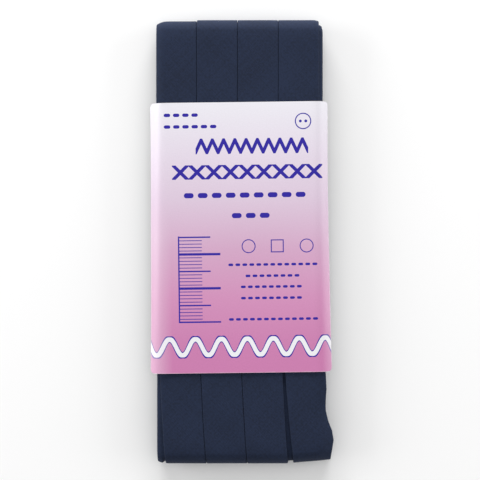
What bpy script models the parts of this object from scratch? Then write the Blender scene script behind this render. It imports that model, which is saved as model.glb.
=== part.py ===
# A card of bias tape: five metres of folded 12 mm binding wound flat in four runs side by side,
# with a paper label bent over its front. It lies on its back: +Y is up the runs, +X is across
# them and +Z is out of the front. The last layer of the winding goes from left to right, and
# each of its runs crosses over to the next one on the back.
import math
from collections import namedtuple

import bmesh
import bpy
from mathutils import Vector

MM = 0.001

# The tape: finished width, room that one turn takes in the stack, and layers of turns
TAPE_WIDTH = 11.85 * MM
TURN_THICKNESS = 0.72 * MM
LAYERS = 5

# The winding: the flat stretch of a turn between its two round ends, and half the stack's width
FLAT_LENGTH = 124.1 * MM
STACK_HALF_WIDTH = 24.4 * MM
HALF_THICKNESS = LAYERS * TURN_THICKNESS
THICKNESS = 2 * HALF_THICKNESS
CORE_HEIGHT = HALF_THICKNESS - TURN_THICKNESS
END_LENGTH = math.pi * HALF_THICKNESS

# The last layer's runs on the front: the left edge at the top, and how far each leans to the
# right by the bottom. The fourth run is the slack one, so a narrow wedge opens beside it.
Run = namedtuple("Run", "left lean")
RUNS = [
    Run(left=-24.60 * MM, lean=2.45 * MM),
    Run(left=-12.60 * MM, lean=2.5 * MM),
    Run(left=-0.55 * MM, lean=2.55 * MM),
    Run(left=11.40 * MM, lean=4.1 * MM),
]
LEAN_POWER = 3.5

# The loose end: how far its longer edge runs up the back, how far it drifts outwards on its way
# there, and how much shorter its outer edge is, because it is cut askew
TAIL_LENGTH = 5.5 * MM
TAIL_DRIFT = 0.1 * MM
TAIL_SKEW = 0.85

# The first run climbs onto the last layer over the top end, so it starts this much lower
CLIMB_START = 0.8 * MM
CLIMB_LENGTH = 8.0 * MM

# The outer few millimetres of the front sag over the sides, and run straight past the reach.
# They bend most at the top of the card, and least beside the slack run's foot.
SHOULDER_START = 22.0 * MM
SHOULDER_REACH = 3.5 * MM
SHOULDER_TOP = 0.20 / MM
SHOULDER_FOOT_LEFT = 0.12 / MM
SHOULDER_FOOT_RIGHT = 0.07 / MM
SHOULDER_FADE = 40.0 * MM

# The corners are drawn in where the turns go round the ends, and the slack run's foot slopes.
# Beside the first run's foot the turns beneath swell out nearly as far as it reaches.
CORNER_START = 21.5 * MM
CORNER_CURVE = 0.10 / MM
SLACK_START = 13.5 * MM
SLACK_SLOPE = 0.076
SWELL_START = 22.2 * MM
SWELL_BLEND = 0.6 * MM
FOOT_SWELL = 0.75 * MM
PULL_START = 50.0 * MM

# The slack run's outer edge is drawn in above its foot, and bulges out just before it turns
FLARE_START = 16.0 * MM
FLARE_FULL = 27.0 * MM
FLARE_TOP = -41.8 * MM
FLARE_BLEND = 8.0 * MM
FLARE_DRAWN_IN = 1.0 * MM
FLARE_BULGE = 1.7 * MM
FLARE_MIDDLE = -57.3 * MM
FLARE_LENGTH = 4.5 * MM

# The ends are pressed a little flatter than half circles: 1 would be round
END_PRESS = 1.18

# Half a tape's section, from its outermost point to its middle: distance in from the folded
# edge, and depth below the face
EDGE_SECTION = [
    (0.00 * MM, 0.30 * MM),
    (0.09 * MM, 0.09 * MM),
    (0.30 * MM, 0.00 * MM),
    (1.60 * MM, 0.00 * MM),
    (3.40 * MM, 0.00 * MM),
]
INNER_STEPS = [0.0 * MM, 1.5 * MM, 3.0 * MM]
SINK = 0.15 * MM
LEAST_THICKNESS = 0.45 * MM

# The stack's flat faces are divided here, and its sides have a groove between two turns' edges
FACE_STEPS = [23.2 * MM, 22.0 * MM, 20.0 * MM, 7.0 * MM]
GROOVE_DEPTH = 0.28 * MM
EDGE_CUT = 0.10 * MM

# The label: flat size before it is bent, place of its middle, and turn
LABEL_WIDTH = 52.4 * MM
LABEL_HEIGHT = 79.3 * MM
LABEL_THICKNESS = 1.0 * MM
LABEL_CORNER = 1.5 * MM
LABEL_GAP = 0.3 * MM
LABEL_X = -0.03 * MM
LABEL_Y = 1.26 * MM
LABEL_TILT = math.radians(0.7)
LABEL_STEPS = [0.0, 9.0, 18.0, 21.5, 22.7, 23.8, 24.8, 25.8, 27.0]
CORNER_ANGLES = [90.0, 67.5, 45.0, 22.5, 0.0]
LABEL_ROWS = 6
BEND_STEP = 0.1 * MM

# How finely each stretch of a turn is divided
FRONT_STEPS = 24
END_STEPS = 10
BACK_STEPS = 8

# Names of the four legs of a turn: down the front, round the bottom end, up the back and
# round the top end
FRONT, BOTTOM_END, BACK, TOP_END = range(4)


def shoulder_curve(x, y):
    """How strongly the front bends over its side there."""
    foot = SHOULDER_FOOT_RIGHT if x > 0 else SHOULDER_FOOT_LEFT
    share = min(max(0.5 + 0.5 * y / SHOULDER_FADE, 0.0), 1.0)
    return foot + (SHOULDER_TOP - foot) * share


def shoulder(x, y):
    """How far the front has sagged there."""
    out = max(0.0, abs(x) - SHOULDER_START)
    curved = min(out, SHOULDER_REACH)
    curve = shoulder_curve(x, y)
    return curve * curved**2 + 2 * curve * SHOULDER_REACH * (out - curved)


def shoulder_slope(x, y):
    """How steeply the front falls there as x grows."""
    out = min(max(0.0, abs(x) - SHOULDER_START), SHOULDER_REACH)
    return math.copysign(2 * shoulder_curve(x, y) * out, x)


def corner_pull(x, y):
    """How far the winding's end is drawn in at x."""
    if x > 0 and y < 0:
        return SLACK_SLOPE * max(0.0, x - SLACK_START)
    swell = FOOT_SWELL * smooth((-x - SWELL_START) / SWELL_BLEND) if y < 0 else 0.0
    return CORNER_CURVE * max(0.0, abs(x) - CORNER_START) ** 2 - swell


def smooth(share):
    """A rise from 0 to 1 that starts and ends level."""
    share = min(max(share, 0.0), 1.0)
    return share * share * (3 - 2 * share)


def flare(x, y):
    """How far the slack run's outer edge bulges outwards near its foot, or is drawn in."""
    outer = min(max((x - FLARE_START) / (FLARE_FULL - FLARE_START), 0.0), 1.0)
    bulge = FLARE_BULGE * math.exp(-(((y - FLARE_MIDDLE) / FLARE_LENGTH) ** 2))
    return outer * (bulge - FLARE_DRAWN_IN * smooth((FLARE_TOP - y) / FLARE_BLEND))


def turn_point(x, leg, share, height):
    """A point on a turn, at a share of one of its legs and a height from the stack's middle."""
    half = FLAT_LENGTH / 2
    angle = math.pi * share
    past_end = height * math.sin(angle) ** END_PRESS
    level = height * math.copysign(abs(math.cos(angle)) ** END_PRESS, math.cos(angle))
    if leg == FRONT:
        y, z = half - FLAT_LENGTH * share, height
    elif leg == BOTTOM_END:
        y, z = -half - past_end, level
    elif leg == BACK:
        y, z = -half + FLAT_LENGTH * share, -height
    else:
        y, z = half + past_end, -level
    z += HALF_THICKNESS
    near_end = min(max((abs(y) - PULL_START) / (half - PULL_START), 0.0), 1.0)
    y -= corner_pull(x, y) * near_end**2 * math.copysign(1.0, y)
    z -= shoulder(x, y) * (z / THICKNESS) ** 2
    return Vector((x + flare(x, y), y, z))


def hermite(start, start_slope, end, length, distance):
    """A smooth curve from start to end that arrives with no slope."""
    t = distance / length
    from_start = (1 + 2 * t) * (1 - t) ** 2 * start
    from_slope = t * (1 - t) ** 2 * length * start_slope
    return from_start + from_slope + t * t * (3 - 2 * t) * end


def left_edge(index, leg, share):
    """Where a run's left edge is: it leans down the front, then crosses to the next run's place
    by way of the back, or for the last run drifts out to the loose end."""
    run = RUNS[index]
    if leg == FRONT:
        return run.left + run.lean * share**LEAN_POWER
    start, slope = run.left + run.lean, run.lean * LEAN_POWER / FLAT_LENGTH
    before = {BOTTOM_END: 0.0, BACK: END_LENGTH, TOP_END: END_LENGTH + FLAT_LENGTH}[leg]
    distance = before + share * (FLAT_LENGTH if leg == BACK else END_LENGTH)
    if index == len(RUNS) - 1:
        return hermite(start, slope, start + TAIL_DRIFT, END_LENGTH + TAIL_LENGTH, distance)
    whole = 2 * END_LENGTH + FLAT_LENGTH
    return hermite(start, slope, RUNS[index + 1].left, whole, distance)


def climb(distance):
    """The height of the last layer's face after that distance on the layer below."""
    return HALF_THICKNESS - CLIMB_START * math.exp(-distance / CLIMB_LENGTH)


def shares(count):
    """A leg's divisions, without its end."""
    return [step / count for step in range(count)]


def tape_section(left, leg, share, height, skew=0.0):
    """The tape's section at one place: its face with rounded edges, and its underside sunk a
    little into the turns below. Skewed, its right edge goes less far up its leg."""
    low = min(CORE_HEIGHT - SINK, height - LEAST_THICKNESS)
    face = [(left + inset, height - depth) for inset, depth in EDGE_SECTION]
    face += [(left + TAPE_WIDTH - inset, height - depth) for inset, depth in reversed(EDGE_SECTION)]
    under = [(left + TAPE_WIDTH - inset, low) for inset in INNER_STEPS]
    under += [(left + inset, low) for inset in reversed(INNER_STEPS)]
    points = []
    for x, level in face + under:
        shorter = 1 - skew * (x - left) / TAPE_WIDTH
        points.append(turn_point(x, leg, share * shorter, level))
    return points


def last_layer_sections():
    """The sections of the last layer, from where it climbs over the top end to its loose end."""
    sections = []
    for share in shares(END_STEPS):
        height = climb(share * END_LENGTH)
        sections.append(tape_section(RUNS[0].left, TOP_END, share, height))
    steps = {FRONT: FRONT_STEPS, BOTTOM_END: END_STEPS, BACK: BACK_STEPS, TOP_END: END_STEPS}
    last = len(RUNS) - 1
    for index in range(len(RUNS)):
        for leg, count in steps.items():
            if index == last and leg == BACK:
                break
            for share in shares(count):
                travelled = END_LENGTH + share * FLAT_LENGTH
                first_climb = index == 0 and leg == FRONT
                height = climb(travelled) if first_climb else HALF_THICKNESS
                sections.append(tape_section(left_edge(index, leg, share), leg, share, height))
    for share in (0.0, 0.5 * TAIL_LENGTH / FLAT_LENGTH, TAIL_LENGTH / FLAT_LENGTH):
        left = left_edge(last, BACK, share)
        sections.append(tape_section(left, BACK, share, HALF_THICKNESS, TAIL_SKEW))
    return sections


def stack_side():
    """The inner turns' side as (x, height) pairs from the stack's middle outwards: the folded
    edges of four layers as a row of ridges."""
    side = []
    for layer in range(LAYERS - 1):
        middle = (layer + 0.5) * TURN_THICKNESS
        side.append((STACK_HALF_WIDTH, middle))
        if layer < LAYERS - 2:
            side.append((STACK_HALF_WIDTH - GROOVE_DEPTH, middle + TURN_THICKNESS / 2))
    side.append((STACK_HALF_WIDTH - EDGE_CUT, CORE_HEIGHT - EDGE_CUT))
    side.append((STACK_HALF_WIDTH - GROOVE_DEPTH, CORE_HEIGHT))
    return side


def stack_sections():
    """Loops round the inner turns, from the middle of the left side over the faces to the middle
    of the right side."""
    half = stack_side() + [(x, CORE_HEIGHT) for x in FACE_STEPS]
    across = [(-x, height) for x, height in half] + list(reversed(half))
    stations = [(FRONT, share) for share in shares(FRONT_STEPS)]
    stations += [(BOTTOM_END, share) for share in shares(END_STEPS)]
    stations += [(BACK, share) for share in shares(BACK_STEPS)]
    stations += [(TOP_END, share) for share in shares(END_STEPS)]
    return [[turn_point(x, leg, share, height) for leg, share in stations] for x, height in across]


def swept(name, sections):
    """A closed mesh through sections of equal length, with a cap at each end."""
    build = bmesh.new()
    rings = [[build.verts.new(point) for point in section] for section in sections]
    build.faces.new(rings[0])
    build.faces.new(rings[-1])
    for ring, following in zip(rings, rings[1:]):
        for index, corner in enumerate(ring):
            after = (index + 1) % len(ring)
            build.faces.new((corner, following[index], following[after], ring[after]))
    return finished(name, build)


def finished(name, build):
    """An object made from a bmesh, its faces pointing out and its round parts shaded smooth."""
    bmesh.ops.recalc_face_normals(build, faces=build.faces)
    bmesh.ops.triangulate(build, faces=build.faces)
    mesh = bpy.data.meshes.new(name)
    build.to_mesh(mesh)
    build.free()
    mesh.shade_smooth()
    mesh.set_sharp_from_angle(angle=math.radians(40))
    thing = bpy.data.objects.new(name, mesh)
    bpy.context.scene.collection.objects.link(thing)
    return thing


def make_tape():
    """The wound tape: the inner turns joined with the last layer's leaning runs."""
    tape = swept("wound_tape", stack_sections())
    runs = swept("last_layer", last_layer_sections())
    runs.hide_render = True
    runs.display_type = "WIRE"
    union = tape.modifiers.new("join the last layer", "BOOLEAN")
    union.operation = "UNION"
    union.object = runs
    return tape, runs


def x_along_front(distance, y):
    """The x that is reached by going that distance along the front from its middle, over the
    sagging shoulder."""
    x, left_over = 0.0, abs(distance)
    while left_over > 0:
        step = min(BEND_STEP, left_over)
        x += step / math.hypot(1.0, shoulder_slope(math.copysign(x, distance), y))
        left_over -= step
    return math.copysign(x, distance)


def label_point(across, up, lift):
    """A point of the label, from its place on the flat paper and its height above the tape."""
    along = LABEL_X + across * math.cos(LABEL_TILT) - up * math.sin(LABEL_TILT)
    y = LABEL_Y + across * math.sin(LABEL_TILT) + up * math.cos(LABEL_TILT)
    x = x_along_front(along, y)
    out = Vector((shoulder_slope(x, y), 0.0, 1.0)).normalized()
    return Vector((x, y, THICKNESS - shoulder(x, y))) + out * lift


def label_rows():
    """The flat label's rows from top to bottom, as (up, half width) pairs with round corners."""
    rows = []
    for angle in CORNER_ANGLES:
        turn = math.radians(angle)
        up = LABEL_HEIGHT / 2 - LABEL_CORNER * (1 - math.sin(turn))
        rows.append((up, LABEL_WIDTH / 2 - LABEL_CORNER * (1 - math.cos(turn))))
    straight = LABEL_HEIGHT / 2 - LABEL_CORNER
    between = [straight * (1 - 2 * row / LABEL_ROWS) for row in range(1, LABEL_ROWS)]
    foot = [(-up, half) for up, half in reversed(rows)]
    return rows + [(up, LABEL_WIDTH / 2) for up in between] + foot


def make_label():
    """The paper label, one bent sheet with its edges past the sides of the winding."""
    right = [step / LABEL_STEPS[-1] for step in LABEL_STEPS]
    across = [-share for share in reversed(right[1:])] + right
    sections = []
    for up, half_width in label_rows():
        upper = [label_point(s * half_width, up, LABEL_GAP + LABEL_THICKNESS) for s in across]
        lower = [label_point(s * half_width, up, LABEL_GAP) for s in reversed(across)]
        sections.append(upper + lower)
    return swept_sheet("paper_label", sections)


def swept_sheet(name, sections):
    """A closed mesh like swept, whose end caps are strips of quads, because they are long, bent
    and thin."""
    build = bmesh.new()
    rings = [[build.verts.new(point) for point in section] for section in sections]
    for ring in (rings[0], rings[-1]):
        count = len(ring)
        for index in range(count // 2 - 1):
            far = count - 1 - index
            build.faces.new((ring[index], ring[index + 1], ring[far - 1], ring[far]))
    for ring, following in zip(rings, rings[1:]):
        for index, corner in enumerate(ring):
            after = (index + 1) % len(ring)
            build.faces.new((corner, following[index], following[after], ring[after]))
    return finished(name, build)


def paint(thing, colour, roughness):
    """Gives an object a material of its own."""
    material = bpy.data.materials.new(thing.name)
    material.use_nodes = True
    shader = material.node_tree.nodes["Principled BSDF"]
    shader.inputs["Base Color"].default_value = (*colour, 1.0)
    shader.inputs["Roughness"].default_value = roughness
    shader.inputs["Metallic"].default_value = 0.0
    thing.data.materials.append(material)


def centre(things):
    """Parents everything to an empty that puts the middle of its outline on the origin."""
    corners = [vertex.co for thing in things for vertex in thing.data.vertices]
    middle_x = (min(c.x for c in corners) + max(c.x for c in corners)) / 2
    middle_y = (min(c.y for c in corners) + max(c.y for c in corners)) / 2
    card = bpy.data.objects.new("card", None)
    card.location = (-middle_x, -middle_y, 0.0)
    bpy.context.scene.collection.objects.link(card)
    for thing in things:
        thing.parent = card


def main():
    for thing in list(bpy.data.objects):
        bpy.data.objects.remove(thing)
    tape, runs = make_tape()
    label = make_label()
    paint(tape, (0.022, 0.030, 0.060), 0.85)
    paint(label, (0.78, 0.50, 0.66), 0.45)
    centre([tape, runs, label])


main()
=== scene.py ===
# A card of bias tape, lying on its back and seen from straight above: five metres of folded
# 12 mm cotton and polyester binding wound flat, with a printed paper label bent over it.
import math
import random
from collections import namedtuple

import bmesh
import bpy
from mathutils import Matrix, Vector


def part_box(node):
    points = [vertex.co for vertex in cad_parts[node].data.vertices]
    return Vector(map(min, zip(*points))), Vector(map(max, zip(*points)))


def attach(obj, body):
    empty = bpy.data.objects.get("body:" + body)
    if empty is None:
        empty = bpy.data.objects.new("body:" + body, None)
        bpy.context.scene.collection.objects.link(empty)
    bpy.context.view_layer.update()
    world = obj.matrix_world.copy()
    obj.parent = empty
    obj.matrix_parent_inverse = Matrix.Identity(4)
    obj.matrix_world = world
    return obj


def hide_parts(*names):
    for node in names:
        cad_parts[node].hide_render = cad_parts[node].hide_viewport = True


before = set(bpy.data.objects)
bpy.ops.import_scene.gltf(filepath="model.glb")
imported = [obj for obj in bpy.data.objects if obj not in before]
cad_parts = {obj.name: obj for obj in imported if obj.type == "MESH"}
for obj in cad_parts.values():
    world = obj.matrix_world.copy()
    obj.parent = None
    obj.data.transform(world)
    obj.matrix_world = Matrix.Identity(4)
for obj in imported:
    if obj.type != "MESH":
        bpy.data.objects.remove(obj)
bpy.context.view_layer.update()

MM = 0.001

# The table, the lights and the camera
# A plain pale table top in a white room. A wide soft light stands low beyond the top end of the
# card, weaker ones stand low at its sides and above it, and the camera looks straight down.
TABLE_REACH = 3.0
TABLE_HEIGHT = -0.02 * MM
TABLE_CORNERS = ((-1, -1), (1, -1), (1, 1), (-1, 1))
table_mesh = bpy.data.meshes.new("table_top")
table_mesh.from_pydata(
    [(TABLE_REACH * x, TABLE_REACH * y, TABLE_HEIGHT) for x, y in TABLE_CORNERS], [], [(0, 1, 2, 3)]
)
table_top = bpy.data.objects.new("table_top", table_mesh)
bpy.context.scene.collection.objects.link(table_top)
table_finish = bpy.data.materials.new("pale_table")
table_finish.use_nodes = True
table_shader = table_finish.node_tree.nodes["Principled BSDF"]
table_shader.inputs["Base Color"].default_value = (0.92, 0.92, 0.92, 1.0)
table_shader.inputs["Roughness"].default_value = 0.6
table_mesh.materials.append(table_finish)


def soft_light(name, place, size, watts):
    """A square light at that place, turned to the card's middle."""
    lamp = bpy.data.lights.new(name, "AREA")
    lamp.shape = "RECTANGLE"
    lamp.size, lamp.size_y = size
    lamp.energy = watts
    light = bpy.data.objects.new(name, lamp)
    light.location = place
    light.rotation_euler = (-Vector(place)).to_track_quat("-Z", "Y").to_euler()
    bpy.context.scene.collection.objects.link(light)


soft_light("key_light", (-0.05, 1.15, 0.33), (1.2, 0.4), 21.0)
soft_light("left_light", (-1.0, 0.1, 0.30), (0.9, 0.35), 6.0)
soft_light("right_light", (1.0, 0.1, 0.30), (0.9, 0.35), 4.0)
soft_light("top_light", (0.1, 0.1, 1.15), (0.9, 0.9), 1.8)
room = bpy.data.worlds.new("room")
room.use_nodes = True
room.node_tree.nodes["Background"].inputs["Color"].default_value = (1.0, 1.0, 1.0, 1.0)
room.node_tree.nodes["Background"].inputs["Strength"].default_value = 0.41
bpy.context.scene.world = room
bpy.context.scene.view_settings.view_transform = "Standard"

CAMERA_HEIGHT = 0.42
CAMERA_RIGHT = 0.08 * MM
CAMERA_UP = 0.51 * MM
PIXELS_PER_METRE = 3410.0
PICTURE_WIDTH = 480
FRONT_HEIGHT = 7.2 * MM
TAPE_LEFT = -24.60 * MM

# How far the tape's own middle lies from the frame's
card_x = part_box("wound_tape")[0][0] - TAPE_LEFT
eye = bpy.data.cameras.new("camera")
eye.sensor_width = 36.0
eye.lens = eye.sensor_width * PIXELS_PER_METRE * (CAMERA_HEIGHT - FRONT_HEIGHT) / PICTURE_WIDTH
camera = bpy.data.objects.new("camera", eye)
camera.location = (card_x + CAMERA_RIGHT, CAMERA_UP, CAMERA_HEIGHT)
bpy.context.scene.collection.objects.link(camera)
bpy.context.scene.camera = camera

# The wound tape
# A strip of navy cotton and polyester, cut on the bias and pressed with both edges folded to the
# middle of its back. It is wound flat in five layers, each of four turns side by side, and each
# turn crosses over to the next one on the back of the card.
TAPE_WIDTH = 11.92 * MM
CUT_WIDTH = 23.4 * MM
CLOTH_THICKNESS = 0.20 * MM
FOLD_RADIUS = 0.16 * MM
FOLD_CROWDING = 0.90
THREAD_PITCH = 0.34 * MM
DARK_NAVY = (0.0081, 0.0134, 0.0316, 1.0)
LIGHT_NAVY = (0.0138, 0.0228, 0.0540, 1.0)
DARKENING = -0.56
TURN_THICKNESS = 0.72 * MM
LAYERS = 5
TURNS_IN_LAYER = 4
TURN_PITCH = 12.3 * MM
TURN_WANDER = 0.22 * MM
TUCK_DEPTH = 0.5 * MM
FLAT_LENGTH = 124.1 * MM
HALF_THICKNESS = LAYERS * TURN_THICKNESS
THICKNESS = 2 * HALF_THICKNESS
END_LENGTH = math.pi * HALF_THICKNESS

# The last layer's runs down the front: left edge at the top, and lean to the right by the foot
Run = namedtuple("Run", "left lean")
RUNS = [
    Run(left=TAPE_LEFT, lean=2.45 * MM),
    Run(left=-12.60 * MM, lean=2.5 * MM),
    Run(left=-0.60 * MM, lean=2.55 * MM),
    Run(left=11.40 * MM, lean=4.1 * MM),
]
LEAN_POWER = 3.5
TAIL_LENGTH = 5.5 * MM
TAIL_DRIFT = 0.1 * MM
TAIL_SKEW = 0.85
CLIMB_LENGTH = 8.0 * MM

# How the winding sags over its sides, is drawn in at its corners, and swells at its left foot
SHOULDER_START = 22.0 * MM
SHOULDER_REACH = 3.5 * MM
SHOULDER_TOP = 0.20 / MM
SHOULDER_FOOT_LEFT = 0.12 / MM
SHOULDER_FOOT_RIGHT = 0.07 / MM
SHOULDER_FADE = 40.0 * MM
CORNER_START = 21.5 * MM
CORNER_CURVE = 0.10 / MM
SLACK_START = 13.5 * MM
SLACK_SLOPE = 0.076
SWELL_START = 22.2 * MM
SWELL_BLEND = 0.6 * MM
FOOT_SWELL = 0.75 * MM
PULL_START = 50.0 * MM
FLARE_START = 16.0 * MM
FLARE_FULL = 27.0 * MM
FLARE_TOP = -41.8 * MM
FLARE_BLEND = 8.0 * MM
FLARE_DRAWN_IN = 1.0 * MM
FLARE_BULGE = 1.7 * MM
FLARE_MIDDLE = -57.3 * MM
FLARE_LENGTH = 4.5 * MM
END_PRESS = 1.18

# The four legs of a turn in the order the tape goes round them, and the steps along each
FRONT, BOTTOM_END, BACK, TOP_END = range(4)
INNER_STEPS = (10, 7, 10, 7)
LAST_STEPS = (40, 12, 30, 12)
CLIMB_STEPS = 10
TAIL_STEPS = 2
SHARP_ANGLE = math.radians(40)
chance = random.Random(12)


def shoulder_curve(x, y):
    """How strongly the front bends over its side there."""
    foot = SHOULDER_FOOT_RIGHT if x > 0 else SHOULDER_FOOT_LEFT
    share = min(max(0.5 + 0.5 * y / SHOULDER_FADE, 0.0), 1.0)
    return foot + (SHOULDER_TOP - foot) * share


def shoulder(x, y):
    """How far the front has sagged there."""
    out = max(0.0, abs(x) - SHOULDER_START)
    curved = min(out, SHOULDER_REACH)
    curve = shoulder_curve(x, y)
    return curve * curved**2 + 2 * curve * SHOULDER_REACH * (out - curved)


def corner_pull(x, y):
    """How far the winding's end is drawn in at x."""
    if x > 0 and y < 0:
        return SLACK_SLOPE * max(0.0, x - SLACK_START)
    swell = FOOT_SWELL * smooth((-x - SWELL_START) / SWELL_BLEND) if y < 0 else 0.0
    return CORNER_CURVE * max(0.0, abs(x) - CORNER_START) ** 2 - swell


def smooth(share):
    """A rise from 0 to 1 that starts and ends level."""
    share = min(max(share, 0.0), 1.0)
    return share * share * (3 - 2 * share)


def flare(x, y):
    """How far the slack run's outer edge bulges outwards near its foot, or is drawn in."""
    outer = min(max((x - FLARE_START) / (FLARE_FULL - FLARE_START), 0.0), 1.0)
    bulge = FLARE_BULGE * math.exp(-(((y - FLARE_MIDDLE) / FLARE_LENGTH) ** 2))
    return outer * (bulge - FLARE_DRAWN_IN * smooth((FLARE_TOP - y) / FLARE_BLEND))


def pressed(point):
    """Where a point of the plain winding ends up once its sides sag and its corners draw in."""
    x, y, z = point
    near_end = (abs(y) - PULL_START) / (FLAT_LENGTH / 2 - PULL_START)
    near_end = min(max(near_end, 0.0), 1.0)
    y -= corner_pull(x, y) * near_end**2 * math.copysign(1.0, y)
    z -= shoulder(x, y) * (z / THICKNESS) ** 2
    return Vector((x + flare(x, y) + card_x, y, z))


def hermite(start, start_slope, end, length, distance):
    """A smooth curve from start to end that arrives with no slope."""
    t = distance / length
    from_start = (1 + 2 * t) * (1 - t) ** 2 * start
    from_slope = t * (1 - t) ** 2 * length * start_slope
    return from_start + from_slope + t * t * (3 - 2 * t) * end


# One place along the tape: its middle, the way out of the stack there, and how far along the
# tape its section slants for each metre across
Station = namedtuple("Station", "place out slant")


def station(x, leg, share, height):
    """The tape's middle at one place of a turn, and the direction out of the stack there."""
    half = FLAT_LENGTH / 2
    angle = math.pi * share
    past_end = height * math.sin(angle) ** END_PRESS
    level = height * math.copysign(abs(math.cos(angle)) ** END_PRESS, math.cos(angle))
    away = math.sin(angle) ** (2 - END_PRESS)
    up = math.copysign(abs(math.cos(angle)) ** (2 - END_PRESS), math.cos(angle))
    if leg == FRONT:
        place, out = (x, half - FLAT_LENGTH * share, height), (0, 0, 1)
    elif leg == BOTTOM_END:
        place, out = (x, -half - past_end, level), (0, -away, up)
    elif leg == BACK:
        place, out = (x, -half + FLAT_LENGTH * share, -height), (0, 0, -1)
    else:
        place, out = (x, half + past_end, -level), (0, away, -up)
    return Station(Vector(place) + Vector((0, 0, HALF_THICKNESS)), Vector(out).normalized(), 0.0)


def legs(steps):
    """Places round one turn as leg and share pairs, without the last place."""
    return [(leg, step / count) for leg, count in enumerate(steps) for step in range(count)]


def travelled(leg, share):
    """The distance round a turn of the last layer from the foot of its front run."""
    before = {BOTTOM_END: 0.0, BACK: END_LENGTH, TOP_END: END_LENGTH + FLAT_LENGTH}[leg]
    return before + share * (FLAT_LENGTH if leg == BACK else END_LENGTH)


def inner_turns():
    """The path of the first four layers. Each layer fills the columns the other way from the one
    before it, and its last turn stays in its column and climbs over the end to start the next."""
    path = []
    columns = []
    for layer in range(LAYERS - 1):
        order = range(TURNS_IN_LAYER) if layer % 2 == 0 else reversed(range(TURNS_IN_LAYER))
        columns += [(layer, column) for column in order]
    centres = [
        (column - (TURNS_IN_LAYER - 1) / 2) * TURN_PITCH + chance.uniform(-TURN_WANDER, TURN_WANDER)
        for layer, column in columns
    ]
    centres.append(RUNS[0].left + TAPE_WIDTH / 2)
    whole = 2 * END_LENGTH + FLAT_LENGTH
    for turn, (layer, column) in enumerate(columns):
        height = (layer + 0.5) * TURN_THICKNESS
        first, last = turn % TURNS_IN_LAYER == 0, turn % TURNS_IN_LAYER == TURNS_IN_LAYER - 1
        arrives = turn % TURNS_IN_LAYER == TURNS_IN_LAYER - 2
        for leg, share in legs(INNER_STEPS):
            level, x = height, centres[turn]
            if leg == FRONT and first and layer > 0:
                level -= TURN_THICKNESS * math.exp(-(END_LENGTH + share * FLAT_LENGTH) / CLIMB_LENGTH)
            if leg != FRONT:
                x = hermite(centres[turn], 0.0, centres[turn + 1], whole, travelled(leg, share))
            if last and leg == TOP_END:
                level += TURN_THICKNESS * (1 - math.exp(-share * END_LENGTH / CLIMB_LENGTH))
            if arrives and leg == BACK:
                level -= TUCK_DEPTH * smooth(2 * share)
            if arrives and leg == TOP_END:
                level -= TUCK_DEPTH * smooth(1 - share)
            if last and layer == LAYERS - 2 and leg == TOP_END and share > 0:
                break
            path.append(station(x, leg, share, level))
    return path


def last_layer():
    """The path of the last layer, from where it climbs over the top end to its loose end."""
    height = HALF_THICKNESS - TURN_THICKNESS / 2
    middle = TAPE_WIDTH / 2
    whole = 2 * END_LENGTH + FLAT_LENGTH
    path = []
    for step in range(CLIMB_STEPS):
        share = step / CLIMB_STEPS
        left_to_climb = TURN_THICKNESS * math.exp(-share * END_LENGTH / CLIMB_LENGTH)
        path.append(station(RUNS[0].left + middle, TOP_END, share, height - left_to_climb))
    for index, run in enumerate(RUNS):
        tail = index == len(RUNS) - 1
        slope = run.lean * LEAN_POWER / FLAT_LENGTH
        for leg, share in legs(LAST_STEPS):
            level = height
            if leg == FRONT:
                x = run.left + run.lean * share**LEAN_POWER
                if index == 0:
                    level -= TURN_THICKNESS * math.exp(
                        -(END_LENGTH + share * FLAT_LENGTH) / CLIMB_LENGTH
                    )
            elif tail:
                x = hermite(
                    run.left + run.lean,
                    slope,
                    run.left + run.lean + TAIL_DRIFT,
                    END_LENGTH + TAIL_LENGTH,
                    travelled(leg, share),
                )
            else:
                x = hermite(
                    run.left + run.lean, slope, RUNS[index + 1].left, whole, travelled(leg, share)
                )
            if tail and leg == BACK:
                break
            path.append(station(x + middle, leg, share, level))
    end = RUNS[-1].left + RUNS[-1].lean + TAIL_DRIFT + middle
    for step in range(TAIL_STEPS + 1):
        longest = step / TAIL_STEPS * TAIL_LENGTH
        place = station(end, BACK, longest * (1 - TAIL_SKEW / 2) / FLAT_LENGTH, height)
        path.append(place._replace(slant=-longest * TAIL_SKEW / TAPE_WIDTH))
    return path


class Sums:
    """Adds sums to a node tree: each call makes one Math node and gives its result."""

    def __init__(self, tree):
        self.tree = tree

    def __call__(self, operation, *values):
        node = self.tree.nodes.new("ShaderNodeMath")
        node.operation = operation
        for socket, value in zip(node.inputs, values):
            if isinstance(value, (int, float)):
                socket.default_value = value
            else:
                self.tree.links.new(value, socket)
        return node.outputs[0]

    def noise(self, place, scale, detail):
        node = self.tree.nodes.new("ShaderNodeTexNoise")
        node.inputs["Scale"].default_value = scale
        node.inputs["Detail"].default_value = detail
        self.tree.links.new(place, node.inputs["Vector"])
        return node.outputs[0]


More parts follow.
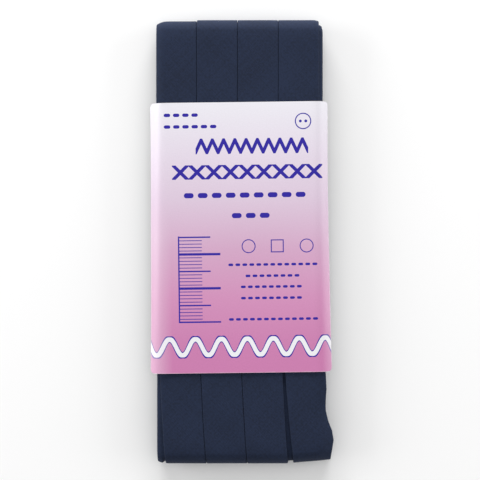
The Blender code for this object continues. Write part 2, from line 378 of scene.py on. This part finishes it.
def folded_tape_tree():
    """Lays the cloth along its path: a grid of stations by columns, folded to a flat tube with
    its two edges meeting behind, and rippled a little."""
    tree = bpy.data.node_groups.new("folded tape", "GeometryNodeTree")
    link, new = tree.links.new, tree.nodes.new
    sums = Sums(tree)
    tree.interface.new_socket("Path", in_out="INPUT", socket_type="NodeSocketGeometry")
    for name, size in [
        ("Cut Width", CUT_WIDTH),
        ("Tape Width", TAPE_WIDTH),
        ("Fold Radius", FOLD_RADIUS),
        ("Cloth Thickness", CLOTH_THICKNESS),
        ("Ripple Height", 0.05 * MM),
        ("Ripple Length", 9.0 * MM),
    ]:
        socket = tree.interface.new_socket(name, in_out="INPUT", socket_type="NodeSocketFloat")
        socket.default_value = size
    columns = tree.interface.new_socket("Columns", in_out="INPUT", socket_type="NodeSocketInt")
    columns.default_value = 33
    tree.interface.new_socket("Cloth", in_out="INPUT", socket_type="NodeSocketMaterial")
    tree.interface.new_socket("Tape", in_out="OUTPUT", socket_type="NodeSocketGeometry")
    given = new("NodeGroupInput").outputs

    count = new("GeometryNodeAttributeDomainSize")
    link(given["Path"], count.inputs["Geometry"])
    grid = new("GeometryNodeMeshGrid")
    link(count.outputs["Point Count"], grid.inputs["Vertices X"])
    link(given["Columns"], grid.inputs["Vertices Y"])
    index = new("GeometryNodeInputIndex").outputs[0]
    place = sums("FLOOR", sums("DIVIDE", sums("ADD", index, 0.5), given["Columns"]))
    column = sums("SUBTRACT", index, sums("MULTIPLY", place, given["Columns"]))
    share = sums("DIVIDE", column, sums("SUBTRACT", given["Columns"], 1.0))
    share = sums("SUBTRACT", sums("MULTIPLY", share, 2.0), 1.0)
    crowd = sums("SINE", sums("MULTIPLY", share, 2 * math.pi))
    crowd = sums("MULTIPLY", crowd, FOLD_CROWDING / (2 * math.pi))
    half_cut = sums("MULTIPLY", given["Cut Width"], 0.5)
    across = sums("MULTIPLY", sums("ADD", share, crowd), half_cut)

    radius = given["Fold Radius"]
    half_wall = sums("MULTIPLY", given["Cloth Thickness"], 0.5)
    face = sums("SUBTRACT", sums("MULTIPLY", given["Tape Width"], 0.5), sums("ADD", radius, half_wall))
    bend = sums("MULTIPLY", radius, math.pi)
    out = sums("ABSOLUTE", across)
    past = sums("MAXIMUM", sums("SUBTRACT", out, face), 0.0)
    over = sums("MINIMUM", past, bend)
    flap = sums("SUBTRACT", past, over)
    angle = sums("DIVIDE", over, radius)
    reach = sums("ADD", sums("MINIMUM", out, face), sums("MULTIPLY", radius, sums("SINE", angle)))
    reach = sums("MULTIPLY", sums("SUBTRACT", reach, flap), sums("SIGN", across))
    lift = sums("MULTIPLY", radius, sums("COSINE", angle))

    def sampled(value, kind):
        node = new("GeometryNodeSampleIndex")
        node.data_type = kind
        node.domain = "POINT"
        link(given["Path"], node.inputs["Geometry"])
        link(value, node.inputs["Value"])
        link(place, node.inputs["Index"])
        return node.outputs["Value"]

    def stored(name, kind):
        node = new("GeometryNodeInputNamedAttribute")
        node.data_type = kind
        node.inputs["Name"].default_value = name
        return node.outputs["Attribute"]

    middle = sampled(new("GeometryNodeInputPosition").outputs[0], "FLOAT_VECTOR")
    outward = sampled(stored("out", "FLOAT_VECTOR"), "FLOAT_VECTOR")
    along = sampled(stored("along", "FLOAT"), "FLOAT")
    slant = sampled(stored("slant", "FLOAT"), "FLOAT")

    flat_place = new("ShaderNodeCombineXYZ")
    link(across, flat_place.inputs["X"])
    link(along, flat_place.inputs["Y"])
    ripple = new("ShaderNodeTexNoise")
    ripple.inputs["Detail"].default_value = 1.0
    link(flat_place.outputs[0], ripple.inputs["Vector"])
    link(sums("DIVIDE", 1.0, given["Ripple Length"]), ripple.inputs["Scale"])
    wave = sums("MULTIPLY", sums("SUBTRACT", ripple.outputs[0], 0.5), given["Ripple Height"])
    lift = sums("ADD", lift, sums("MULTIPLY", wave, 2.0))

    sideways = new("ShaderNodeCombineXYZ")
    link(reach, sideways.inputs["X"])
    link(sums("MULTIPLY", reach, slant), sideways.inputs["Y"])
    raised = new("ShaderNodeVectorMath")
    raised.operation = "SCALE"
    link(outward, raised.inputs[0])
    link(lift, raised.inputs["Scale"])
    moved = [middle, sideways.outputs[0], raised.outputs[0]]
    total = moved[0]
    for part in moved[1:]:
        plus = new("ShaderNodeVectorMath")
        plus.operation = "ADD"
        link(total, plus.inputs[0])
        link(part, plus.inputs[1])
        total = plus.outputs[0]

    put = new("GeometryNodeSetPosition")
    link(grid.outputs["Mesh"], put.inputs["Geometry"])
    link(total, put.inputs["Position"])
    at_points = new("GeometryNodeFieldOnDomain")
    at_points.data_type = "FLOAT_VECTOR"
    at_points.domain = "POINT"
    link(flat_place.outputs[0], at_points.inputs[0])
    unwrap = new("GeometryNodeStoreNamedAttribute")
    unwrap.data_type = "FLOAT2"
    unwrap.domain = "CORNER"
    unwrap.inputs["Name"].default_value = "cloth"
    link(put.outputs[0], unwrap.inputs["Geometry"])
    link(at_points.outputs[0], unwrap.inputs["Value"])
    smooth_faces = new("GeometryNodeSetShadeSmooth")
    link(unwrap.outputs[0], smooth_faces.inputs["Geometry"])
    realise = new("GeometryNodeRealizeInstances")
    link(smooth_faces.outputs[0], realise.inputs[0])
    coat = new("GeometryNodeSetMaterial")
    link(realise.outputs[0], coat.inputs["Geometry"])
    link(given["Cloth"], coat.inputs["Material"])
    result = new("NodeGroupOutput")
    link(coat.outputs[0], result.inputs[0])
    return tree


def navy_cloth():
    """Plain weave of cotton and polyester, dyed navy. The threads run at 45 degrees to the tape,
    and the finish is flat with a faint nap."""
    cloth = bpy.data.materials.new("navy_polycotton")
    cloth.use_nodes = True
    tree = cloth.node_tree
    link, new = tree.links.new, tree.nodes.new
    sums = Sums(tree)
    shader = tree.nodes["Principled BSDF"]
    shader.inputs["Metallic"].default_value = 0.0
    shader.inputs["Specular IOR Level"].default_value = 0.2
    shader.inputs["Sheen Weight"].default_value = 0.08
    shader.inputs["Sheen Roughness"].default_value = 0.45
    shader.inputs["Sheen Tint"].default_value = (0.62, 0.70, 0.92, 1.0)
    flat = new("ShaderNodeUVMap")
    flat.uv_map = "cloth"
    split = new("ShaderNodeSeparateXYZ")
    link(flat.outputs[0], split.inputs[0])
    across, along = split.outputs["X"], split.outputs["Y"]
    per_thread = 1 / (math.sqrt(2) * THREAD_PITCH)
    warp = sums("MULTIPLY", sums("ADD", along, across), per_thread)
    weft = sums("MULTIPLY", sums("SUBTRACT", along, across), per_thread)
    warp_round = sums("SINE", sums("MULTIPLY", warp, math.pi))
    weft_round = sums("SINE", sums("MULTIPLY", weft, math.pi))
    crossing = sums("MULTIPLY", warp_round, weft_round)
    upper = sums("GREATER_THAN", crossing, 0.0)
    lengthwise = sums("MULTIPLY", upper, sums("ABSOLUTE", weft_round))
    crosswise = sums("MULTIPLY", sums("SUBTRACT", 1.0, upper), sums("ABSOLUTE", warp_round))
    weave = sums("SQRT", sums("MULTIPLY", sums("ABSOLUTE", crossing), sums("ADD", lengthwise, crosswise)))

    def thread_tone(place):
        node = new("ShaderNodeTexWhiteNoise")
        node.noise_dimensions = "1D"
        link(sums("FLOOR", place), node.inputs["W"])
        return node.outputs["Value"]

    yarn = sums.noise(flat.outputs[0], scale=1600.0, detail=2.0)
    patches = sums.noise(flat.outputs[0], scale=70.0, detail=3.0)
    tone = DARKENING
    for part, share in (
        (yarn, 1.1),
        (weave, 0.32),
        (patches, 0.55),
        (thread_tone(warp), 0.14),
        (thread_tone(weft), 0.14),
    ):
        tone = sums("MULTIPLY_ADD", part, share, tone)
    ramp = new("ShaderNodeValToRGB")
    dark, light = ramp.color_ramp.elements
    dark.position, dark.color = 0.25, DARK_NAVY
    light.position, light.color = 0.80, LIGHT_NAVY
    link(tone, ramp.inputs[0])
    link(ramp.outputs[0], shader.inputs["Base Color"])
    link(sums("ADD", sums("MULTIPLY", yarn, 0.16), 0.74), shader.inputs["Roughness"])
    height = sums("ADD", sums("MULTIPLY", weave, 0.8), sums("MULTIPLY", yarn, 0.7))
    bump = new("ShaderNodeBump")
    bump.inputs["Strength"].default_value = 0.6
    bump.inputs["Distance"].default_value = 0.06 * MM
    link(height, bump.inputs["Height"])
    link(bump.outputs[0], shader.inputs["Normal"])
    return cloth


tape_tree = folded_tape_tree()
tape_cloth = navy_cloth()


def laid_tape(name, path, start):
    """A piece of the tape along its path, with the cloth's own thickness. It starts at that
    distance from the tape's first end, and gives back the distance it ends at."""
    guide = bpy.data.meshes.new(name + "_path")
    guide.from_pydata([tuple(s.place) for s in path], [], [])
    distances = [start]
    for before, place in zip(path, path[1:]):
        distances.append(distances[-1] + (place.place - before.place).length)
    along = guide.attributes.new("along", "FLOAT", "POINT")
    along.data.foreach_set("value", distances)
    slant = guide.attributes.new("slant", "FLOAT", "POINT")
    slant.data.foreach_set("value", [place.slant for place in path])
    out = guide.attributes.new("out", "FLOAT_VECTOR", "POINT")
    out.data.foreach_set("vector", [part for place in path for part in place.out])
    tape = bpy.data.objects.new(name, guide)
    bpy.context.scene.collection.objects.link(tape)
    fold = tape.modifiers.new("fold and lay", "NODES")
    fold.node_group = tape_tree
    sockets = {item.name: item.identifier for item in tape_tree.interface.items_tree}
    fold[sockets["Cloth"]] = tape_cloth
    wall = tape.modifiers.new("cloth thickness", "SOLIDIFY")
    wall.thickness = CLOTH_THICKNESS
    wall.offset = 0.0
    depsgraph = bpy.context.evaluated_depsgraph_get()
    mesh = bpy.data.meshes.new_from_object(tape.evaluated_get(depsgraph))
    tape.modifiers.clear()
    tape.data = mesh
    mesh.name = name
    for vertex in mesh.vertices:
        vertex.co = pressed(vertex.co)
    mesh.set_sharp_from_angle(angle=SHARP_ANGLE)
    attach(tape, "root")
    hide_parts("wound_tape")
    return distances[-1]


inner_length = laid_tape("tape_inner_turns", inner_turns(), 0.0)
laid_tape("tape_last_layer", last_layer(), inner_length)

# The paper label
# A printed slip of smooth paper, cut with round corners and bent over both sides of the winding.
# Its colour runs from pale lilac to pink. The print is a plain sampler of stitches with a
# centimetre scale, in violet, and a white wave from side to side near the foot.
LABEL_WIDTH = 53.45 * MM
LABEL_HEIGHT = 79.35 * MM
LABEL_CORNER = 1.4 * MM
LABEL_X = -0.03 * MM
LABEL_Y = 1.26 * MM
LABEL_TILT = math.radians(0.7)
PAPER_THICKNESS = 0.18 * MM
PAPER_LIFT = 0.10 * MM
CORNER_LIFT = 0.30 * MM
COCKLE_HEIGHT = 0.05 * MM
COCKLE_ACROSS = 6.1 * MM
COCKLE_UP = 8.3 * MM
LABEL_COLUMNS = 48
LABEL_ROWS = 44
CORNER_STEPS = 6
BEND_STEP = 0.05 * MM
PRINT_HEIGHT = 80.0
STITCH_SHARE = 0.70
# How strongly the painted highlight at the label's bent sides is mixed in
SIDE_HIGHLIGHT_SHARE = 0.26
RUBBED_WIDTH = 0.30
RUBBED_SHARE = 0.35
VIOLET = (0.012, 0.002, 0.300, 1.0)
WHITE = (0.80, 0.80, 0.83, 1.0)
# The colour of the painted highlight at the label's bent sides
HIGHLIGHT_PINK = (0.80, 0.72, 0.79, 1.0)
RUBBED_PAPER = (0.80, 0.76, 0.79, 1.0)


def front_reached(distance, y):
    """The x that is reached by going that distance along the front from its middle, and how
    steeply the front falls there."""
    x = min(abs(distance), SHOULDER_START)
    left_over = abs(distance) - x
    curve = shoulder_curve(distance, y)
    fall = 0.0
    while left_over > 0:
        fall = 2 * curve * min(x - SHOULDER_START, SHOULDER_REACH)
        step = min(BEND_STEP, left_over)
        x += step / math.hypot(1.0, fall)
        left_over -= step
    return math.copysign(x, distance), math.copysign(fall, distance)


def paper_point(across, up, lift):
    """A point of the label, from its place on the flat paper and its height above the tape. The
    paper is a little cockled, and its corners stand off."""
    along = LABEL_X + across * math.cos(LABEL_TILT) - up * math.sin(LABEL_TILT)
    y = LABEL_Y + across * math.sin(LABEL_TILT) + up * math.cos(LABEL_TILT)
    x, fall = front_reached(along, y)
    side, end = abs(across) / (LABEL_WIDTH / 2), abs(up) / (LABEL_HEIGHT / 2)
    cockle = math.sin(across / COCKLE_ACROSS + 1.1) * math.sin(up / COCKLE_UP + 0.4)
    lift += CORNER_LIFT * side**6 * end**4 + COCKLE_HEIGHT * (1 + cockle)
    out = Vector((fall, 0.0, 1.0)).normalized()
    return Vector((x + card_x, y, THICKNESS - shoulder(x, y))) + out * lift


def paper_rows():
    """The flat label's rows from top to bottom, as pairs of height and half width."""
    corner = []
    for step in range(CORNER_STEPS + 1):
        turn = math.pi / 2 * (1 - step / CORNER_STEPS)
        drop = LABEL_CORNER * (1 - math.sin(turn))
        corner.append((LABEL_HEIGHT / 2 - drop, LABEL_WIDTH / 2 - LABEL_CORNER * (1 - math.cos(turn))))
    straight = LABEL_HEIGHT / 2 - LABEL_CORNER
    between = [(straight * (1 - 2 * row / LABEL_ROWS), LABEL_WIDTH / 2) for row in range(1, LABEL_ROWS)]
    return corner + between + [(-up, half) for up, half in reversed(corner)]


def paper_sheet():
    """The label's mesh: its printed face, its plain back and its cut edge."""
    build = bmesh.new()
    flat = build.loops.layers.uv.new("paper")
    shares = []
    for column in range(LABEL_COLUMNS + 1):
        even = 2 * column / LABEL_COLUMNS - 1
        shares.append(0.5 * (math.sin(math.pi / 2 * even) + even))
    faces, backs, places = [], [], {}
    for up, half in paper_rows():
        across = [share * half for share in shares]
        faces.append([build.verts.new(paper_point(a, up, PAPER_LIFT + PAPER_THICKNESS)) for a in across])
        backs.append([build.verts.new(paper_point(a, up, PAPER_LIFT)) for a in across])
        for row in (faces[-1], backs[-1]):
            places.update({vertex: (a, up) for vertex, a in zip(row, across)})
    for row, below in zip(faces, faces[1:]):
        for column in range(LABEL_COLUMNS):
            build.faces.new((row[column], below[column], below[column + 1], row[column + 1]))
    for row, below in zip(backs, backs[1:]):
        for column in range(LABEL_COLUMNS):
            plain = build.faces.new((row[column + 1], below[column + 1], below[column], row[column]))
            plain.material_index = 1
    rims = [
        ([row[0] for row in faces], [row[0] for row in backs]),
        (faces[-1], backs[-1]),
        ([row[-1] for row in reversed(faces)], [row[-1] for row in reversed(backs)]),
        (list(reversed(faces[0])), list(reversed(backs[0]))),
    ]
    for upper, lower in rims:
        for index in range(len(upper) - 1):
            rim = build.faces.new((upper[index], lower[index], lower[index + 1], upper[index + 1]))
            rim.material_index = 1
    bmesh.ops.recalc_face_normals(build, faces=build.faces)
    for face in build.faces:
        for loop in face.loops:
            loop[flat].uv = places[loop.vert]
    mesh = bpy.data.meshes.new("label_sheet")
    build.to_mesh(mesh)
    build.free()
    mesh.shade_smooth()
    mesh.set_sharp_from_angle(angle=SHARP_ANGLE)
    return mesh


class Print(Sums):
    """Adds printed shapes to a paper's node tree. Places and sizes are in millimetres from the
    label's middle, and each shape is 1 where there is ink."""

    def __init__(self, tree):
        super().__init__(tree)
        flat = tree.nodes.new("ShaderNodeUVMap")
        flat.uv_map = "paper"
        self.flat = flat.outputs[0]
        split = tree.nodes.new("ShaderNodeSeparateXYZ")
        tree.links.new(self.flat, split.inputs[0])
        self.x = self("MULTIPLY", split.outputs["X"], 1000.0)
        self.y = self("MULTIPLY", split.outputs["Y"], 1000.0)

    def both(self, *shapes):
        result = shapes[0]
        for shape in shapes[1:]:
            result = self("MULTIPLY", result, shape)
        return result

    def any(self, *shapes):
        result = shapes[0]
        for shape in shapes[1:]:
            result = self("MAXIMUM", result, shape)
        return result

    def without(self, shape, gap):
        return self("MULTIPLY", shape, self("SUBTRACT", 1.0, gap))

    def near(self, value, middle, reach):
        return self("LESS_THAN", self("ABSOLUTE", self("SUBTRACT", value, middle)), reach)

    def rise(self, value, start, full):
        """An even rise from 0 where the value is start to 1 where it is full."""
        share = self("DIVIDE", self("SUBTRACT", value, start), full - start)
        return self("MINIMUM", self("MAXIMUM", share, 0.0), 1.0)

    def box(self, left, right, low, high):
        across = self.near(self.x, (left + right) / 2, (right - left) / 2)
        return self.both(across, self.near(self.y, (low + high) / 2, (high - low) / 2))

    def stitches(self, left, middle, count, pitch, thickness):
        """A row of running stitches with round ends."""
        length = pitch * STITCH_SHARE
        right = left + (count - 1) * pitch + length
        row = self.box(left, right, middle - thickness / 2, middle + thickness / 2)
        step = self("FRACT", self("DIVIDE", self("SUBTRACT", self.x, left), pitch))
        off = self("ABSOLUTE", self("MULTIPLY_ADD", step, pitch, -length / 2))
        past = self("MAXIMUM", self("SUBTRACT", off, (length - thickness) / 2), 0.0)
        up = self("SUBTRACT", self.y, middle)
        far = self("ADD", self("MULTIPLY", past, past), self("MULTIPLY", up, up))
        return self.both(row, self("LESS_THAN", far, thickness**2 / 4))

    def zigzag(self, left, middle, count, pitch, rise, thickness):
        """A row of zigzag stitch."""
        row = self.box(left, left + count * pitch, middle - rise, middle + rise)
        saw = self("PINGPONG", self("SUBTRACT", self.x, left), pitch / 2)
        steep = 4 * (rise - thickness / 2) / pitch
        line = self("MULTIPLY_ADD", saw, steep, middle - rise + thickness / 2)
        off = self("SUBTRACT", self.y, line)
        return self.both(row, self.near(off, 0.0, thickness / 2 * math.hypot(1.0, steep)))

    def crosses(self, left, middle, count, pitch, rise, thickness):
        """A row of cross stitches, each a little apart from the next."""
        row = self.box(left, left + count * pitch, middle - rise, middle + rise)
        step = self("FRACT", self("DIVIDE", self("SUBTRACT", self.x, left), pitch))
        off = self("ABSOLUTE", self("MULTIPLY_ADD", step, pitch, -pitch / 2))
        up = self("ABSOLUTE", self("SUBTRACT", self.y, middle))
        return self.both(row, self.near(self("SUBTRACT", off, up), 0.0, thickness / math.sqrt(2)))

    def wave(self, middle, rise, length, thickness):
        """A wavy line from one side of the label to the other."""
        turn = self("MULTIPLY", self.x, 2 * math.pi / length)
        steep = self("MULTIPLY", self("COSINE", turn), rise * 2 * math.pi / length)
        slant = self("SQRT", self("MULTIPLY_ADD", steep, steep, 1.0))
        line = self("MULTIPLY_ADD", self("SINE", turn), rise, middle)
        off = self("DIVIDE", self("SUBTRACT", self.y, line), slant)
        return self.near(off, 0.0, thickness / 2)

    def distance(self, x, y):
        across, up = self("SUBTRACT", self.x, x), self("SUBTRACT", self.y, y)
        return self("SQRT", self("ADD", self("MULTIPLY", across, across), self("MULTIPLY", up, up)))

    def disc(self, x, y, radius):
        return self("LESS_THAN", self.distance(x, y), radius)

    def ring(self, x, y, radius, thickness):
        return self.near(self.distance(x, y), radius, thickness / 2)

    def scale(self, left, low, length):
        """A centimetre scale up the side: a line, with longer ticks at the halves and wholes."""
        up = self("SUBTRACT", self.y, low)
        inside = self("MULTIPLY", self("GREATER_THAN", up, -0.1), self("LESS_THAN", up, length + 0.3))
        ticks = []
        for pitch, reach, thickness in ((1.0, 7.0, 0.22), (5.0, 9.5, 0.42), (10.0, 12.4, 0.7)):
            tick = self("LESS_THAN", self("PINGPONG", up, pitch / 2), thickness / 2)
            across = self.near(self.x, left + reach / 2, reach / 2)
            ticks.append(self.both(tick, across))
        spine = self.near(self.x, left + 0.2, 0.2)
        return self.both(inside, self.any(spine, *ticks))


def printed_paper():
    """Smooth paper with its printed colours. The lower half has a painted highlight towards both bent
    sides, a paler pink that stands in for glare there. The cut edges are rubbed a little pale."""
    paper = bpy.data.materials.new("printed_paper")
    paper.use_nodes = True
    tree = paper.node_tree
    link, new = tree.links.new, tree.nodes.new
    ink = Print(tree)
    shader = tree.nodes["Principled BSDF"]
    shader.inputs["Metallic"].default_value = 0.0
    shader.inputs["Specular IOR Level"].default_value = 0.4

    height = ink("DIVIDE", ink("ADD", ink.y, PRINT_HEIGHT / 2), PRINT_HEIGHT)
    ground = new("ShaderNodeValToRGB")
    stops = ground.color_ramp.elements
    stops[0].position, stops[0].color = 0.0, (0.555, 0.186, 0.390, 1.0)
    stops[1].position, stops[1].color = 1.0, (0.760, 0.750, 0.800, 1.0)
    for place, colour in [
        (0.10, (0.558, 0.191, 0.398, 1.0)),
        (0.28, (0.600, 0.257, 0.455, 1.0)),
        (0.46, (0.606, 0.358, 0.522, 1.0)),
        (0.64, (0.658, 0.525, 0.648, 1.0)),
        (0.82, (0.715, 0.640, 0.735, 1.0)),
    ]:
        stops.new(place).color = colour
    link(height, ground.inputs[0])

    # Each row of running stitches: its left end, its height, how many, their pitch and thickness
    stitch_rows = [
        (-21.8, 36.0, 4, 2.7, 1.0),
        (-21.8, 32.6, 6, 2.7, 1.0),
        (-16.2, 12.4, 9, 4.1, 1.5),
        (-2.2, 6.4, 3, 4.1, 1.5),
        (-3.4, -8.0, 13, 2.05, 0.75),
        (1.6, -11.3, 8, 2.05, 0.75),
        (0.2, -14.5, 9, 2.05, 0.75),
        (0.2, -17.8, 9, 2.05, 0.75),
        (-3.4, -24.0, 13, 2.05, 0.75),
    ]
    violet = ink.any(
        *[ink.stitches(*row) for row in stitch_rows],
        ink.ring(x=19.0, y=33.9, radius=2.25, thickness=0.32),
        ink.disc(x=18.2, y=33.9, radius=0.42),
        ink.disc(x=19.8, y=33.9, radius=0.42),
        ink.zigzag(left=-12.6, middle=26.8, count=10, pitch=3.3, rise=2.3, thickness=1.0),
        ink.crosses(left=-19.6, middle=19.2, count=9, pitch=4.9, rise=2.1, thickness=1.0),
        ink.scale(left=-18.1, low=-24.8, length=25.0),
        ink.ring(x=2.6, y=-2.6, radius=1.9, thickness=0.28),
        ink.without(ink.box(9.1, 12.9, -4.5, -0.7), ink.box(9.4, 12.6, -4.2, -1.0)),
        ink.ring(x=19.6, y=-2.6, radius=1.9, thickness=0.28),
        ink.wave(middle=-32.0, rise=2.3, length=7.6, thickness=1.9),
    )
    white = ink.wave(middle=-32.0, rise=2.3, length=7.6, thickness=1.3)
    violet = ink.without(violet, white)

    def mix(base, over, share):
        node = new("ShaderNodeMix")
        node.data_type = "RGBA"
        for socket, value in ((node.inputs[0], share), (node.inputs[6], base), (node.inputs[7], over)):
            if isinstance(value, (tuple, float)):
                socket.default_value = value
            else:
                link(value, socket)
        return node.outputs[2]

    fibres = ink.noise(ink.flat, scale=2600.0, detail=2.0)
    colour = mix(ground.outputs[0], WHITE, white)
    colour = mix(colour, VIOLET, violet)
    to_side = ink("SUBTRACT", LABEL_WIDTH / 2 / MM, ink("ABSOLUTE", ink.x))
    to_end = ink("SUBTRACT", LABEL_HEIGHT / 2 / MM, ink("ABSOLUTE", ink.y))
    to_edge = ink("MINIMUM", to_side, to_end)
    ragged = ink("MULTIPLY", ink.noise(ink.flat, scale=900.0, detail=3.0), RUBBED_WIDTH)
    rubbed = ink("LESS_THAN", to_edge, ragged)
    colour = mix(colour, RUBBED_PAPER, ink("MULTIPLY", rubbed, RUBBED_SHARE))
    # Painted highlight: near both bent sides the lower half is mixed towards a paler pink, standing in
    # for glare on the bent paper
    left_highlight = ink.rise(ink.x, start=-20.0, full=-24.0)
    right_highlight = ink.rise(ink.x, start=23.7, full=27.7)
    pale = ink.both(ink.any(left_highlight, right_highlight), ink.rise(height, start=0.64, full=0.50))
    colour = mix(colour, HIGHLIGHT_PINK, ink("MULTIPLY", pale, SIDE_HIGHLIGHT_SHARE))
    shade = ink("MULTIPLY_ADD", fibres, 0.10, 0.95)
    tint = new("ShaderNodeVectorMath")
    tint.operation = "SCALE"
    link(colour, tint.inputs[0])
    link(shade, tint.inputs["Scale"])
    link(tint.outputs[0], shader.inputs["Base Color"])
    link(ink("MULTIPLY_ADD", fibres, 0.14, 0.36), shader.inputs["Roughness"])
    bump = new("ShaderNodeBump")
    bump.inputs["Strength"].default_value = 0.15
    bump.inputs["Distance"].default_value = 0.02 * MM
    link(fibres, bump.inputs["Height"])
    link(bump.outputs[0], shader.inputs["Normal"])
    return paper


def plain_paper():
    """The white of the paper, seen at its cut edge and on its back."""
    paper = bpy.data.materials.new("white_paper")
    paper.use_nodes = True
    shader = paper.node_tree.nodes["Principled BSDF"]
    shader.inputs["Roughness"].default_value = 0.75
    fibres = paper.node_tree.nodes.new("ShaderNodeTexNoise")
    fibres.inputs["Scale"].default_value = 1800.0
    places = paper.node_tree.nodes.new("ShaderNodeTexCoord")
    tone = paper.node_tree.nodes.new("ShaderNodeValToRGB")
    tone.color_ramp.elements[0].color = (0.66, 0.64, 0.66, 1.0)
    tone.color_ramp.elements[1].color = (0.80, 0.78, 0.80, 1.0)
    paper.node_tree.links.new(places.outputs["Object"], fibres.inputs["Vector"])
    paper.node_tree.links.new(fibres.outputs[0], tone.inputs[0])
    paper.node_tree.links.new(tone.outputs[0], shader.inputs["Base Color"])
    return paper


label = bpy.data.objects.new("label_sheet", paper_sheet())
label.data.materials.append(printed_paper())
label.data.materials.append(plain_paper())
bpy.context.scene.collection.objects.link(label)
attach(label, "root")
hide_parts("paper_label")
